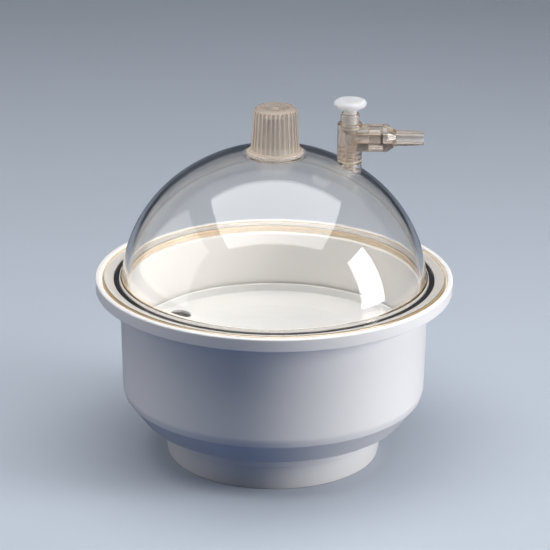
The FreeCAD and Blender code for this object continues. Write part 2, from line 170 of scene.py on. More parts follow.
def new_object(name, vertices, faces):
    """A mesh object with its faces turned outwards and its vertices given in millimetres."""
    mesh = bpy.data.meshes.new(name)
    mesh.from_pydata([Vector(v) * MM for v in vertices], [], faces)
    work = bmesh.new()
    work.from_mesh(mesh)
    bmesh.ops.recalc_face_normals(work, faces=work.faces)
    work.to_mesh(mesh)
    work.free()
    made = bpy.data.objects.new(name, mesh)
    bpy.context.scene.collection.objects.link(made)
    return made


def ring_faces(first, second):
    """Faces between two rings of vertex numbers; a ring of one vertex is a point on the axis."""
    count = max(len(first), len(second))
    faces = []
    if count == 1:
        return faces
    for i in range(count):
        j = (i + 1) % count
        corners = [
            first[i % len(first)],
            first[j % len(first)],
            second[j % len(second)],
            second[i % len(second)],
        ]
        faces.append(tuple(dict.fromkeys(corners)))
    return faces


def lathe(name, outline, turns, shape=None):
    """Turns an outline about Z. shape(radius, height, angle), if given, returns the point's real radius."""
    vertices = []
    rings = []
    for radius, height in outline:
        ring = []
        for i in range(1 if radius < 1e-6 else turns):
            angle = 2 * math.pi * i / turns
            real = shape(radius, height, angle) if shape and radius > 1e-6 else radius
            ring.append(len(vertices))
            vertices.append((real * math.cos(angle), real * math.sin(angle), height))
        rings.append(ring)
    faces = []
    for i in range(len(rings)):
        faces += ring_faces(rings[i], rings[(i + 1) % len(rings)])
    return new_object(name, vertices, faces)


def shift(piece, x=0.0, z=0.0):
    """Moves a piece's mesh by millimetres along X and Z."""
    piece.data.transform(Matrix.Translation(Vector((x, 0, z)) * MM))
    return piece


def along_x(piece, height):
    """Lays a piece that was turned about Z along X, with its axis at a height in millimetres."""
    piece.data.transform(Matrix.Rotation(math.radians(90), 4, "Y"))
    return shift(piece, z=height)


def combine(piece, other, operation):
    """Joins the other mesh to the piece, or cuts it away, and removes it."""
    modifier = piece.modifiers.new("combine", "BOOLEAN")
    modifier.operation = operation
    modifier.solver = "MANIFOLD"
    modifier.object = other
    bpy.context.view_layer.update()
    result = bpy.data.meshes.new_from_object(piece.evaluated_get(bpy.context.evaluated_depsgraph_get()))
    piece.modifiers.remove(modifier)
    piece.data = result
    bpy.data.objects.remove(other)


def cylinder(radius, bottom, top, turns):
    return lathe("cutter", [(0, bottom), (radius, bottom), (radius, top), (0, top)], turns)


def circle(centre_radius, centre_height, radius, steps=32):
    """Outline of a round section."""
    points = []
    for i in range(steps):
        angle = 2 * math.pi * i / steps
        points.append((centre_radius + radius * math.cos(angle), centre_height + radius * math.sin(angle)))
    return points


def place(piece, material, node, stands_for=True):
    """Gives a piece its material, smooth shading, and the CAD node and body that it belongs to."""
    mesh = piece.data
    mesh.materials.clear()
    mesh.materials.append(material)
    mesh.shade_smooth()
    mesh.set_sharp_from_angle(angle=SHARP_ANGLE)
    weighted = piece.modifiers.new("weighted_normals", "WEIGHTED_NORMAL")
    weighted.keep_sharp = True
    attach(piece, BODY_OF[node])
    if stands_for:
        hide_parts(node)


# ---- Material helpers ---------------------------------------------------------------------------
# A Mix node has sockets for every kind of value: these are the ones that it uses for colours
MIX_FACTOR = 0
MIX_FIRST = 6
MIX_SECOND = 7
MIX_RESULT = 2


def colour_mix(tree, factor, first, second):
    """A colour between two others, in the node tree of a material or a world."""
    mix = tree.nodes.new("ShaderNodeMix")
    mix.data_type = "RGBA"
    tree.links.new(factor, mix.inputs[MIX_FACTOR])
    mix.inputs[MIX_FIRST].default_value = (*first, 1)
    mix.inputs[MIX_SECOND].default_value = (*second, 1)
    return mix.outputs[MIX_RESULT]


class Shader:
    """A node material under construction."""

    def __init__(self, name):
        self.material = bpy.data.materials.new(name)
        self.material.use_nodes = True
        self.tree = self.material.node_tree
        self.tree.nodes.clear()
        self.output = self.tree.nodes.new("ShaderNodeOutputMaterial")
        self.place = self.add("ShaderNodeTexCoord").outputs["Object"]

    def add(self, kind, inputs=None, **settings):
        """A new node; an input given as a socket is linked, any other value is set."""
        made = self.tree.nodes.new(kind)
        for key, value in settings.items():
            setattr(made, key, value)
        for key, value in (inputs or {}).items():
            if isinstance(value, bpy.types.NodeSocket):
                self.tree.links.new(value, made.inputs[key])
            else:
                made.inputs[key].default_value = value
        return made

    def noise(self, scale, detail):
        """Noise in the piece's own space, with about `scale` bumps per metre."""
        inputs = {"Vector": self.place, "Scale": scale, "Detail": detail, "Roughness": 0.5}
        return self.add("ShaderNodeTexNoise", inputs).outputs["Fac"]

    def spread(self, value, low, high):
        """Maps a 0 to 1 value on to a range."""
        inputs = {"Value": value, "To Min": low, "To Max": high}
        return self.add("ShaderNodeMapRange", inputs).outputs["Result"]

    def between(self, factor, first, second):
        """A colour between two others."""
        return colour_mix(self.tree, factor, first, second)

    def scaled(self, colour, factor):
        """A colour times a value."""
        product = self.add("ShaderNodeVectorMath", {0: colour, 1: factor}, operation="MULTIPLY")
        return product.outputs["Vector"]

    def beyond(self, radius):
        """1 farther from the Z axis than a radius in millimetres and 0 nearer to it."""
        blend = 0.4 * MM
        flat = self.add("ShaderNodeVectorMath", {0: self.place, 1: (1, 1, 0)}, operation="MULTIPLY")
        distance = self.add("ShaderNodeVectorMath", {0: flat.outputs["Vector"]}, operation="LENGTH")
        mask = self.add("ShaderNodeMapRange", {
            "Value": distance.outputs["Value"],
            "From Min": radius * MM - blend,
            "From Max": radius * MM + blend,
        })
        return mask.outputs["Result"]

    def ridges(self):
        """1 on ridges and 0 in grooves."""
        pointed = self.add("ShaderNodeNewGeometry").outputs["Pointiness"]
        inputs = {"Value": pointed, "From Min": 0.46, "From Max": 0.54}
        return self.add("ShaderNodeMapRange", inputs).outputs["Result"]

    def mixed(self, share, first, second):
        """A shader between two others."""
        mix = self.add("ShaderNodeMixShader", {0: share})
        self.tree.links.new(first, mix.inputs[1])
        self.tree.links.new(second, mix.inputs[2])
        return mix.outputs["Shader"]

    def bump(self, height, depth):
        """A normal for a surface that is uneven by a depth in metres."""
        inputs = {"Height": height, "Distance": depth, "Strength": 1.0}
        return self.add("ShaderNodeBump", inputs).outputs["Normal"]

    def surface(self, shader, volume=None):
        """Finishes the material with the shader that it shows."""
        self.tree.links.new(shader, self.output.inputs["Surface"])
        if volume is not None:
            self.tree.links.new(volume, self.output.inputs["Volume"])
        return self.material


def moulded_plastic(name, light, dark, roughness, grain_depth, glow=0.08, reach=0.004):
    """Opaque moulded plastic: soft blotches of colour, a fine eggshell grain and a little light inside."""
    shader = Shader(name)
    blotches = shader.noise(14, 4)
    grain = shader.noise(900, 2)
    base = shader.add("ShaderNodeBsdfPrincipled", {
        "Base Color": shader.between(blotches, dark, light),
        "Roughness": shader.spread(shader.noise(160, 3), roughness - 0.05, roughness + 0.06),
        "IOR": 1.49,
        "Subsurface Weight": glow,
        "Subsurface Radius": (reach, 0.9 * reach, 0.8 * reach),
        "Subsurface Scale": 1.0,
        "Normal": shader.bump(grain, grain_depth),
    })
    return shader.surface(base.outputs["BSDF"])


def clear_plastic(name, absorbed, density, cloudy=0.0, edge=1000.0):
    """Clear polycarbonate: it bends and tints what is seen through it, and lets light reach what is inside.

    Cloudy is the share of light that it scatters, and the scattered light is coloured with painted
    highlights on ridges and painted shade in grooves. Beyond the edge radius it is tinted and mixed with a
    diffuse amber, a painted glow that stands in for the light which the rim of a flange gathers across its
    whole width. The edge radius lies outside every piece unless it is given.
    """
    shader = Shader(name)
    # painted glow mask: 1 beyond the edge radius, where the clear plastic is tinted and mixed with diffuse
    # amber for the light gathered by the flange's edge
    painted_glow_mask = shader.beyond(edge)
    clear = shader.add("ShaderNodeBsdfPrincipled", {
        "Base Color": shader.between(painted_glow_mask, (1, 1, 1), (0.97, 0.86, 0.68)),
        "Roughness": shader.spread(shader.noise(240, 3), 0.006, 0.02),
        "IOR": 1.58,
        "Transmission Weight": 1.0,
        "Normal": shader.bump(shader.noise(45, 1), 0.00004),
    }).outputs["BSDF"]
    # painted highlight on ridges and painted shade in grooves, from the surface's pointiness, as the colour
    # of the scattered light
    ridge_lit_groove_shaded = shader.between(shader.ridges(), (0.17, 0.12, 0.09), (1.0, 0.89, 0.78))
    front = shader.add("ShaderNodeBsdfPrincipled", {
        "Base Color": ridge_lit_groove_shaded,
        "Roughness": 0.22,
        "IOR": 1.58,
    }).outputs["BSDF"]
    through = shader.add("ShaderNodeBsdfTranslucent", {"Color": ridge_lit_groove_shaded}).outputs["BSDF"]
    hazy = shader.mixed(cloudy, clear, shader.mixed(0.5, front, through))
    # painted glow: a diffuse amber that stands in for the light piped along the flange to its edge
    amber = shader.add("ShaderNodeBsdfDiffuse", {"Color": (0.85, 0.62, 0.36, 1)}).outputs["BSDF"]
    seen = shader.mixed(shader.spread(painted_glow_mask, 0.0, 0.38), hazy, amber)
    passed = shader.add("ShaderNodeBsdfTransparent", {"Color": (1.0, 0.995, 0.985, 1)}).outputs["BSDF"]
    path = shader.add("ShaderNodeLightPath")
    lights_only = shader.add("ShaderNodeMath", {
        0: path.outputs["Is Shadow Ray"],
        1: path.outputs["Is Diffuse Ray"],
    }, operation="MAXIMUM")
    tint = shader.add("ShaderNodeVolumeAbsorption", {"Color": (*absorbed, 1), "Density": density})
    return shader.surface(shader.mixed(lights_only.outputs[0], seen, passed), tint.outputs["Volume"])


def rubber(name, light, dark):
    shader = Shader(name)
    base = shader.add("ShaderNodeBsdfPrincipled", {
        "Base Color": shader.between(shader.noise(300, 4), dark, light),
        "Roughness": shader.spread(shader.noise(500, 3), 0.6, 0.8),
        "Specular IOR Level": 0.05,
        "Normal": shader.bump(shader.noise(1500, 2), 0.00003),
    })
    return shader.surface(base.outputs["BSDF"])


def milky_silicone(name):
    shader = Shader(name)
    base = shader.add("ShaderNodeBsdfPrincipled", {
        "Base Color": shader.between(shader.noise(400, 2), (0.74, 0.68, 0.56), (0.82, 0.77, 0.66)),
        "Roughness": shader.spread(shader.noise(700, 2), 0.3, 0.42),
        "Transmission Weight": 0.35,
        "Subsurface Weight": 0.4,
        "Subsurface Radius": (0.002, 0.0018, 0.0015),
        "Subsurface Scale": 1.0,
    })
    return shader.surface(base.outputs["BSDF"])


def silica_gel(name):
    """Glassy grey grains: each grain has its own shade, from cells that are one grain wide."""
    shader = Shader(name)
    cells = shader.add("ShaderNodeTexVoronoi", {"Vector": shader.place, "Scale": 300.0})
    shade = shader.add("ShaderNodeSeparateColor", {"Color": cells.outputs["Color"]}).outputs["Red"]
    base = shader.add("ShaderNodeBsdfPrincipled", {
        "Base Color": shader.between(shade, (0.42, 0.44, 0.46), (0.92, 0.93, 0.93)),
        "Roughness": shader.spread(shader.noise(900, 2), 0.15, 0.4),
        "Subsurface Weight": 0.2,
        "Subsurface Radius": (0.002, 0.002, 0.002),
        "Subsurface Scale": 1.0,
    })
    return shader.surface(base.outputs["BSDF"])


# ---- Bowl ---------------------------------------------------------------------------------------
def bevel_offset():
    """How far the bevel's inner face lies inwards and upwards of its outer face."""
    rise = CREASE_Z - BEVEL_EDGE_Z
    run = CREASE_R - BEVEL_EDGE_R
    slope = math.hypot(rise, run)
    return WALL * rise / slope, WALL * run / slope


def inner_crease():
    """Radius and height at which the inner faces of the wall and the bevel meet."""
    inward, upward = bevel_offset()
    return CREASE_R - inward, CREASE_Z + upward


def inner_bevel_z(radius):
    """Height of the bevel's inner face at a radius."""
    crease_r, crease_z = inner_crease()
    return crease_z - (crease_r - radius) * (CREASE_Z - BEVEL_EDGE_Z) / (CREASE_R - BEVEL_EDGE_R)


def floor_edge_r():
    """Radius at which the bevel's inner face comes down to the floor."""
    crease_r, crease_z = inner_crease()
    return crease_r - (crease_z - FLOOR_TOP) * (CREASE_R - BEVEL_EDGE_R) / (CREASE_Z - BEVEL_EDGE_Z)


def bowl_outline():
    underside = FLOOR_TOP - FLOOR_THICK
    rim = BOWL.radius + RIM_ROUNDED_OFF
    return rounded([
        (0, underside),
        (FOOT_R - FOOT_WALL, underside, 1.5),
        (FOOT_R - FOOT_WALL, BOWL.bottom, 0.6),
        (FOOT_R, BOWL.bottom, 0.8),
        (FOOT_R + 3.0, FOOT_TOP, 0.3),
        (NECK_R, FOOT_TOP + 0.4, 0.4),
        (NECK_R, underside, 1.0),
        (BEVEL_EDGE_R - 0.8, underside, 0.3),
        (BEVEL_EDGE_R, BEVEL_EDGE_Z, 0.4),
        (CREASE_R, CREASE_Z, 0.6),
        (CREASE_R + 1.4, CREASE_Z + 4.8, 14.0),
        (107.9, 117.0, 1.0),
        (118.0, SKIRT_Z, 1.0),
        (rim - 0.3, SKIRT_Z, 0.5),
        (rim, BOWL.top, 1.2),
        (rim - RIM_WALL, BOWL.top, 0.8),
        (rim - RIM_WALL, SEAT_Z, 0.4),
        (SEAL.radius + SLACK, SEAT_Z, 0.3),
        (SEAL.radius + SLACK, GROOVE_Z, 0.6),
        (SEAL.radius - 2 * SEAL_SECTION - SLACK, GROOVE_Z, 0.6),
        (SEAL.radius - 2 * SEAL_SECTION - SLACK, SEAT_Z, 0.3),
        (MOUTH_R, SEAT_Z, 1.0),
        (*inner_crease(), 12.0),
        (floor_edge_r(), FLOOR_TOP, 4.0),
        (0, FLOOR_TOP),
    ])


def support_rib(angle):
    """An upright fin on the bowl's wall, whose top carries the shelf plate."""
    crease_r, crease_z = inner_crease()
    side = [
        (RIB_IN_R, inner_bevel_z(RIB_IN_R) - 1.5),
        (crease_r + 2.0, crease_z - 1.5),
        (crease_r + 2.0, PLATE.bottom - SLACK),
        (RIB_IN_R, PLATE.bottom - SLACK),
    ]
    count = len(side)
    vertices = [(x, y, z) for y in (-RIB_THICK / 2, RIB_THICK / 2) for x, z in side]
    faces = [tuple(range(count)), tuple(range(count, 2 * count))]
    faces += [(i, (i + 1) % count, (i + 1) % count + count, i + count) for i in range(count)]
    rib = new_object("rib", vertices, faces)
    rib.data.transform(Matrix.Rotation(angle, 4, "Z"))
    return rib


def build_bowl(material):
    bowl = lathe("base_bowl_moulding", bowl_outline(), 256)
    for i in range(RIB_COUNT):
        combine(bowl, support_rib(RIB_FIRST + 2 * math.pi * i / RIB_COUNT), "UNION")
    place(bowl, material, "base_bowl")


def build_seal_ring(material):
    section = circle(SEAL.radius - SEAL_SECTION, SEAL.centre_z, SEAL_SECTION)
    place(lathe("flange_seal_ring_cord", section, 256), material, "flange_seal_ring")


def build_plate(material):
    cone_r = 73.4
    cone_low = PLATE.bottom + 2.15
    plate_thick = 2.2
    lip_r = 96.6
    outline = rounded([
        (0, cone_low),
        (cone_r, cone_low, 2.0),
        (lip_r, cone_low + 2.5, 0.8),
        (lip_r, PLATE.top, 0.6),
        (PLATE.radius, PLATE.top, 0.6),
        (PLATE.radius, PLATE.bottom, 0.8),
        (PLATE.radius - 4.5, PLATE.bottom, 0.4),
        (PLATE.radius - 4.5, cone_low + 0.3, 0.4),
        (cone_r, cone_low - plate_thick, 2.0),
        (0, cone_low - plate_thick),
    ])
    plate = lathe("shelf_plate_dish", outline, 256)
    for i in range(HOLE_COUNT):
        angle = HOLE_FIRST + 2 * math.pi * i / HOLE_COUNT
        hole = shift(cylinder(HOLE_R, PLATE.bottom - 5, PLATE.top + 5, 64), x=HOLE_RING_R)
        hole.data.transform(Matrix.Rotation(angle, 4, "Z"))
        combine(plate, hole, "DIFFERENCE")
    place(plate, material, "shelf_plate")


GRAIN_R = 1.9


def rib_slot(angle):
    """A cutter that leaves room in the bed for one of the bowl's ribs, from below it to above it."""
    half = RIB_THICK / 2 + RIB_GAP
    past_wall = 110
    above_bed = 70
    slot = new_object("slot", [
        (x, y, z) for x in (RIB_IN_R - RIB_GAP, past_wall) for y in (-half, half) for z in (0, above_bed)
    ], [(0, 1, 3, 2), (4, 5, 7, 6), (0, 1, 5, 4), (2, 3, 7, 6), (0, 2, 6, 4), (1, 3, 7, 5)])
    slot.data.transform(Matrix.Rotation(angle, 4, "Z"))
    return slot


def desiccant_heap(material):
    """The body of the bed, just under its top layer of grains, with slots for the bowl's ribs."""
    crease_r, crease_z = inner_crease()
    top = BED.top - 1.6 * GRAIN_R
    heap = lathe("desiccant_bed_heap", rounded([
        (0, BED.bottom),
        (floor_edge_r() - 3.0, BED.bottom, 3.0),
        (crease_r - 1.5, crease_z, 3.0),
        (BED.radius - 0.2, top, 0.5),
        (0, top),
    ]), 128)
    for i in range(RIB_COUNT):
        combine(heap, rib_slot(RIB_FIRST + 2 * math.pi * i / RIB_COUNT), "DIFFERENCE")
    place(heap, material, "desiccant_bed")


def near_rib(x, y):
    """True where a grain would touch one of the bowl's ribs."""
    if math.hypot(x, y) < RIB_IN_R - GRAIN_R - 0.5:
        return False
    spacing = 2 * math.pi / RIB_COUNT
    off = (math.atan2(y, x) - RIB_FIRST + spacing / 2) % spacing - spacing / 2
    return abs(math.hypot(x, y) * off) < RIB_THICK / 2 + GRAIN_R + RIB_GAP


def grain_places():
    """Centres of the top layer of grains, close packed and then shaken a little."""
    shake = random.Random(5)
    pitch = 2 * GRAIN_R * 1.02
    rows = int(BED.radius / pitch) + 2
    places = []
    for row in range(-rows, rows + 1):
        for column in range(-rows, rows + 1):
            x = (column + 0.5 * (row % 2)) * pitch + shake.uniform(-0.35, 0.35)
            y = row * pitch * math.sqrt(0.75) + shake.uniform(-0.35, 0.35)
            if math.hypot(x, y) < BED.radius - GRAIN_R - 0.4 and not near_rib(x, y):
                places.append((x, y, BED.top - GRAIN_R - shake.uniform(0, 0.9), shake.uniform(0.82, 1.0)))
    return places


def desiccant_grains(material):
    """The top layer of grains, as one piece."""
    seed = bmesh.new()
    bmesh.ops.create_icosphere(seed, subdivisions=2, radius=GRAIN_R)
    ball = [v.co.copy() for v in seed.verts]
    ball_faces = [tuple(v.index for v in face.verts) for face in seed.faces]
    seed.free()
    vertices = []
    faces = []
    for x, y, z, size in grain_places():
        start = len(vertices)
        vertices += [(x + size * p.x, y + size * p.y, z + size * p.z) for p in ball]
        faces += [tuple(start + i for i in face) for face in ball_faces]
    grains = new_object("desiccant_bed_grains", vertices, faces)
    place(grains, material, "desiccant_bed", stands_for=False)


# ---- Lid ----------------------------------------------------------------------------------------
SHOULDER_X = (CAP_R - SHOULDER_R) * math.sin(CAP_ANGLE)
SHOULDER_Z = CAP_Z + (CAP_R - SHOULDER_R) * math.cos(CAP_ANGLE)
DOME_STEP = math.radians(1.5)


def arc(centre_r, centre_z, radius, low, high):
    """Points of an arc between two angles, which are measured from straight up."""
    steps = math.ceil(abs(low - high) / DOME_STEP)
    angles = [low + (high - low) * i / steps for i in range(steps + 1)]
    return [(centre_r + radius * math.sin(angle), centre_z + radius * math.cos(angle)) for angle in angles]


def dome_line(from_height, inset=0.0):
    """Outline of the dome from a height up to the knob's flat seat: the tight shoulder, then the cap."""
    low = math.acos((from_height - SHOULDER_Z) / (SHOULDER_R - inset))
    seat = math.acos((KNOB_SEAT - inset - CAP_Z) / (CAP_R - inset))
    shoulder = arc(SHOULDER_X, SHOULDER_Z, SHOULDER_R - inset, low, CAP_ANGLE)
    return shoulder[:-1] + arc(0, CAP_Z, CAP_R - inset, CAP_ANGLE, seat)


def lid_outline():
    outside = dome_line(FLANGE_TOP + 1.5)
    inside = dome_line(LID.bottom, LID_WALL)
    flange = rounded([
        inside[0],
        (LID.radius, LID.bottom, 0.4),
        (LID.radius, FLANGE_TOP, 1.7),
        (outside[0][0] + 0.15, FLANGE_TOP, 1.4),
        outside[0],
    ], closed=False)
    spigot = rounded([
        outside[-1],
        (SPIGOT_R, KNOB_SEAT),
        (SPIGOT_R, LID.top, 0.3),
        (SPIGOT_R - SPIGOT_WALL, LID.top, 0.3),
        (SPIGOT_R - SPIGOT_WALL, KNOB_SEAT),
        (0, KNOB_SEAT),
    ], closed=False)
    return flange[1:] + outside[1:-1] + spigot + [(0, KNOB_SEAT - LID_WALL)] + inside[::-1]


def mid_wall_z(radius):
    """Height of the middle of the cap's wall at a distance from the axis."""
    return CAP_Z + math.sqrt((CAP_R - LID_WALL / 2) ** 2 - radius ** 2)


def column_ring(radius, turns=96):
    """Points of a circle about the stopcock's axis, or its centre where the radius is 0."""
    count = 1 if radius < 1e-6 else turns
    angles = [2 * math.pi * i / turns for i in range(count)]
    return [(STEM.centre_x + radius * math.cos(angle), radius * math.sin(angle)) for angle in angles]


def boss_column():
    """The stopcock's boss, whose lower face lies in the middle of the dome's wall."""
    foot = [column_ring(BARREL_R * share) for share in (0, 0.25, 0.5, 0.75, 1)]
    side = rounded([(BARREL_R, 0), (BARREL_R, BOSS_TOP, 0.35), (0, BOSS_TOP)], closed=False)[1:]
    rings = [[(x, y, mid_wall_z(math.hypot(x, y))) for x, y in ring] for ring in foot]
    rings += [[(x, y, height) for x, y in column_ring(radius)] for radius, height in side]
    vertices = []
    numbers = []
    for ring in rings:
        numbers.append(list(range(len(vertices), len(vertices) + len(ring))))
        vertices += ring
    faces = []
    for first, second in zip(numbers, numbers[1:]):
        faces += ring_faces(first, second)
    return new_object("boss", vertices, faces)


def build_dome(material):
    dome = lathe("dome_lid_shell", lid_outline(), 288)
    combine(dome, boss_column(), "UNION")
    combine(dome, socket_cutter(NIPPLE.bottom - 5, BOSS_TOP + 1, [(0, BOSS_TOP + 1)]), "DIFFERENCE")
    place(dome, material, "dome_lid")


KNOB_BASE_R = 16.9
KNOB_BASE_Z = KNOB_SEAT + 1.8
KNOB_SHOULDER_R = 15.2
KNOB_ROUND = 4.6
FLUTE_COUNT = 30
FLUTE_R = 1.3
FLUTE_DEPTH = 1.1
FLUTE_BOTTOM = KNOB_SEAT + 2.7


def knob_side_r(height):
    """Radius of the knob's drafted side, before its flutes are cut."""
    share = (height - KNOB_BASE_Z) / (KNOB.top - KNOB_BASE_Z)
    return KNOB_BASE_R + (KNOB_SHOULDER_R - KNOB_BASE_R) * share


def fluted(radius, height, angle):
    """Cuts the flutes: each has a round lower end and runs out over the knob's shoulder."""
    spacing = 2 * math.pi / FLUTE_COUNT
    off = (angle + spacing / 2) % spacing - spacing / 2
    below = max(0.0, FLUTE_BOTTOM - height)
    reach = FLUTE_R ** 2 - (radius * math.sin(off)) ** 2 - below ** 2
    if reach <= 0:
        return radius
    return min(radius, knob_side_r(height) + FLUTE_R - FLUTE_DEPTH - math.sqrt(reach))


def knob_outline():
    top = KNOB.top
    foot = rounded([
        (SPIGOT_R + SLACK, KNOB.bottom),
        (KNOB.radius, KNOB.bottom, 0.3),
        (KNOB.radius, KNOB_BASE_Z - 0.5, 0.4),
        (KNOB_BASE_R, KNOB_BASE_Z, 0.5),
        (knob_side_r(KNOB_BASE_Z + 1), KNOB_BASE_Z + 1),
    ], closed=False)
    ends = [FLUTE_BOTTOM - FLUTE_R * math.cos(math.radians(angle)) for angle in range(66, 91, 6)]
    head = rounded([
        (knob_side_r(FLUTE_BOTTOM + 1), FLUTE_BOTTOM + 1),
        (KNOB_SHOULDER_R, top, KNOB_ROUND),
        (10.2, top, 0.5),
        (9.5, top - 1.4, 0.3),
        (2.6, top - 1.4, 0.3),
        (2.0, top - 0.6, 0.3),
        (0, top - 0.6),
        (0, top - 4.2),
        (KNOB_SHOULDER_R - 2.8, top - 4.2, 2.5),
        (SPIGOT_R + SLACK, LID.top + 2.0, 0.5),
        (SPIGOT_R + SLACK, KNOB.bottom),
    ], closed=False, facet=math.radians(6))
    return foot[:-1] + [(knob_side_r(height), height) for height in ends] + head[:-1]


def build_knob(material):
    knob = lathe("lid_knob_grip", knob_outline(), FLUTE_COUNT * 20, shape=fluted)
    place(knob, material, "lid_knob")


def build_cement_bead(material):
    """The uneven bead of clear cement squeezed out round the knob's collar."""
    waves = random.Random(11)
    ripples = [
        (waves.randint(24, 90), waves.uniform(0, 2 * math.pi), waves.uniform(0.06, 0.17))
        for _ in range(10)
    ]

    def uneven(radius, _height, angle):
        swell = sum(size * math.sin(count * angle + phase) for count, phase, size in ripples)
        return radius + max(-0.7, min(0.4, swell)) * (radius > KNOB.radius + 0.2)

    outline = rounded([
        (KNOB.radius - 0.3, KNOB_SEAT + 0.02),
        (KNOB.radius + 1.3, KNOB_SEAT + 0.02, 0.1),
        (KNOB.radius + 0.9, KNOB_SEAT + 0.4, 0.1),
        (KNOB.radius + 0.3, KNOB_SEAT + 0.75, 0.1),
        (KNOB.radius - 0.05, KNOB_SEAT + 0.8),
    ])
    bead = lathe("lid_knob_cement_bead", outline, 540, shape=uneven)
    place(bead, material, "lid_knob", stands_for=False)


# ---- Stopcock -----------------------------------------------------------------------------------
BUSH_R = 6.3
THREAD_PITCH = 3.3
THREAD_TOP = NIPPLE.top - 9.4
THREAD_ROOT_R = 4.2
THREAD_CREST_R = 5.0
TAP_DEPTH = 0.6


def ridge(height, angle):
    """0 to 1 across the screw thread: 1 on its crest."""
    share = (height / THREAD_PITCH - angle / (2 * math.pi)) % 1
    return max(0.0, min(1.0, 1.5 - 6 * abs(share - 0.5)))


def thread_rows(bottom, top):
    """Close rows of heights along a screw thread."""
    rows = round((top - bottom) / THREAD_PITCH * 16)
    return [bottom + (top - bottom) * i / rows for i in range(rows + 1)]


def tapped(radius, height, angle):
    """The socket's own screw thread, which leaves room for the nipple's crests."""
    if abs(radius - BORE_R) > 1e-6:
        return radius
    return radius + TAP_DEPTH * ridge(height, angle)


def socket_cutter(bottom, top, core):
    """A cutter for a threaded hole, with the given outline above its thread."""
    side = [(BORE_R, height) for height in thread_rows(bottom, top)]
    return shift(lathe("socket", [(0, bottom)] + side + core, 96, shape=tapped), x=STEM.centre_x)


def valve_chamber():
    """The space in the barrel above the thread: the valve's chamber and the gland's seat."""
    return [
        (BORE_R - 0.15, THREAD_TOP + SLACK),
        (BORE_R - 0.15, GLAND_STEP),
        (BUSH_R + SLACK, GLAND_STEP),
        (BUSH_R + SLACK, BARREL_TOP + 1),
        (0, BARREL_TOP + 1),
    ]


def build_stopcock_body(material):
    body = shift(lathe("stopcock_body_tee", rounded([
        (0, BODY.bottom),
        (BARREL_R, BODY.bottom, 0.9),
        (BARREL_R, BARREL_TOP, 1.4),
        (0, BARREL_TOP),
    ]), 96), x=STEM.centre_x)
    arm = along_x(lathe("arm", rounded([
        (0, ARM_START_X),
        (ARM_R, ARM_START_X, 0.3),
        (ARM_R, ARM_FACE_X, 0.4),
        (STUB_R, ARM_FACE_X),
        (STUB_R, BODY.right, 0.3),
        (0, BODY.right),
    ]), 96), HOSE.centre_z)
    combine(body, arm, "UNION")
    combine(body, socket_cutter(BODY.bottom - 1, THREAD_TOP + SLACK, valve_chamber()), "DIFFERENCE")
    bore = along_x(cylinder(ARM_BORE_R, STEM.centre_x, BODY.right + 5, 48), HOSE.centre_z)
    combine(body, bore, "DIFFERENCE")
    place(body, material, "stopcock_body")


def threaded(radius, height, angle):
    """The nipple's screw thread on the rows between its ends; other faces are left as they are."""
    if abs(radius - THREAD_ROOT_R) > 1e-6:
        return radius
    ends = min(height - NIPPLE.bottom, THREAD_TOP - height) / THREAD_PITCH
    return radius + (THREAD_CREST_R - THREAD_ROOT_R) * ridge(height, angle) * max(0.0, min(1.0, 2 * ends))


def build_nipple(material):
    side = [(THREAD_ROOT_R, height) for height in thread_rows(NIPPLE.bottom, THREAD_TOP)]
    nozzle = rounded([(3.2, THREAD_TOP), (3.2, NIPPLE.top, 0.5), (2.2, NIPPLE.top)], closed=False)
    outline = [(2.2, NIPPLE.bottom)] + side + nozzle
    nipple = shift(lathe("joining_nipple_tube", outline, 72, shape=threaded), x=NIPPLE.centre_x)
    place(nipple, material, "joining_nipple")


def build_gasket(material):
    hole_r = 5.6
    outline = rounded([
        (hole_r, GASKET.bottom),
        (GASKET.radius, GASKET.bottom, 0.2),
        (GASKET.radius, GASKET.top, 0.2),
        (hole_r, GASKET.top),
    ])
    place(shift(lathe("stopcock_gasket_ring", outline, 96), x=GASKET.centre_x), material, "stopcock_gasket")


def build_bush(material):
    outline = rounded([
        (STEM_R + SLACK, BUSH.bottom, 0.2),
        (BUSH_R, BUSH.bottom, 0.2),
        (BUSH_R, BARREL_TOP + SLACK),
        (BUSH.radius, BARREL_TOP + SLACK),
        (BUSH.radius, BUSH.top - 2.0, 0.5),
        (5.7, BUSH.top, 0.2),
        (STEM_R + SLACK, BUSH.top - 1.4, 0.2),
    ])
    place(shift(lathe("gland_bush_neck", outline, 96), x=BUSH.centre_x), material, "gland_bush")


def build_stem_seal(material):
    section = STEM_SEAL.radius_z
    outline = circle(STEM_SEAL.radius - section, STEM_SEAL.centre_z, section, 20)
    ring = lathe("stem_seal_ring_cord", outline, 72)
    place(shift(ring, x=STEM_SEAL.centre_x), material, "stem_seal_ring")


def build_stem(material):
    disc_bottom = STEM.top - 5.0
    dish_bottom = STEM.top - 0.7
    pocket_r = 1.55
    pocket_top = STEM.bottom + 2.55
    outline = rounded([
        (pocket_r, STEM.bottom),
        (STEM_R, STEM.bottom, 0.4),
        (STEM_R, disc_bottom - 1.2, 0.8),
        (STEM_R + 1.2, disc_bottom, 0.4),
        (STEM.radius, disc_bottom, 2.3),
        (STEM.radius, STEM.top, 2.3),
        (STEM.radius * 0.62, STEM.top, 3.0),
        (STEM.radius * 0.30, dish_bottom, 3.0),
        (0, dish_bottom),
        (0, pocket_top),
        (pocket_r, pocket_top),
    ])
    place(shift(lathe("valve_stem_disc", outline, 128), x=STEM.centre_x), material, "valve_stem")


def build_tip(material):
    face = STEM.bottom - SLACK
    plug_r = 1.5
    outline = rounded([
        (0, TIP.bottom),
        (TIP.radius, TIP.bottom, 0.3),
        (TIP.radius, face, 0.3),
        (plug_r, face),
        (plug_r, TIP.top, 0.3),
        (0, TIP.top),
    ])
    place(shift(lathe("valve_tip_pad", outline, 72), x=TIP.centre_x), material, "valve_tip")


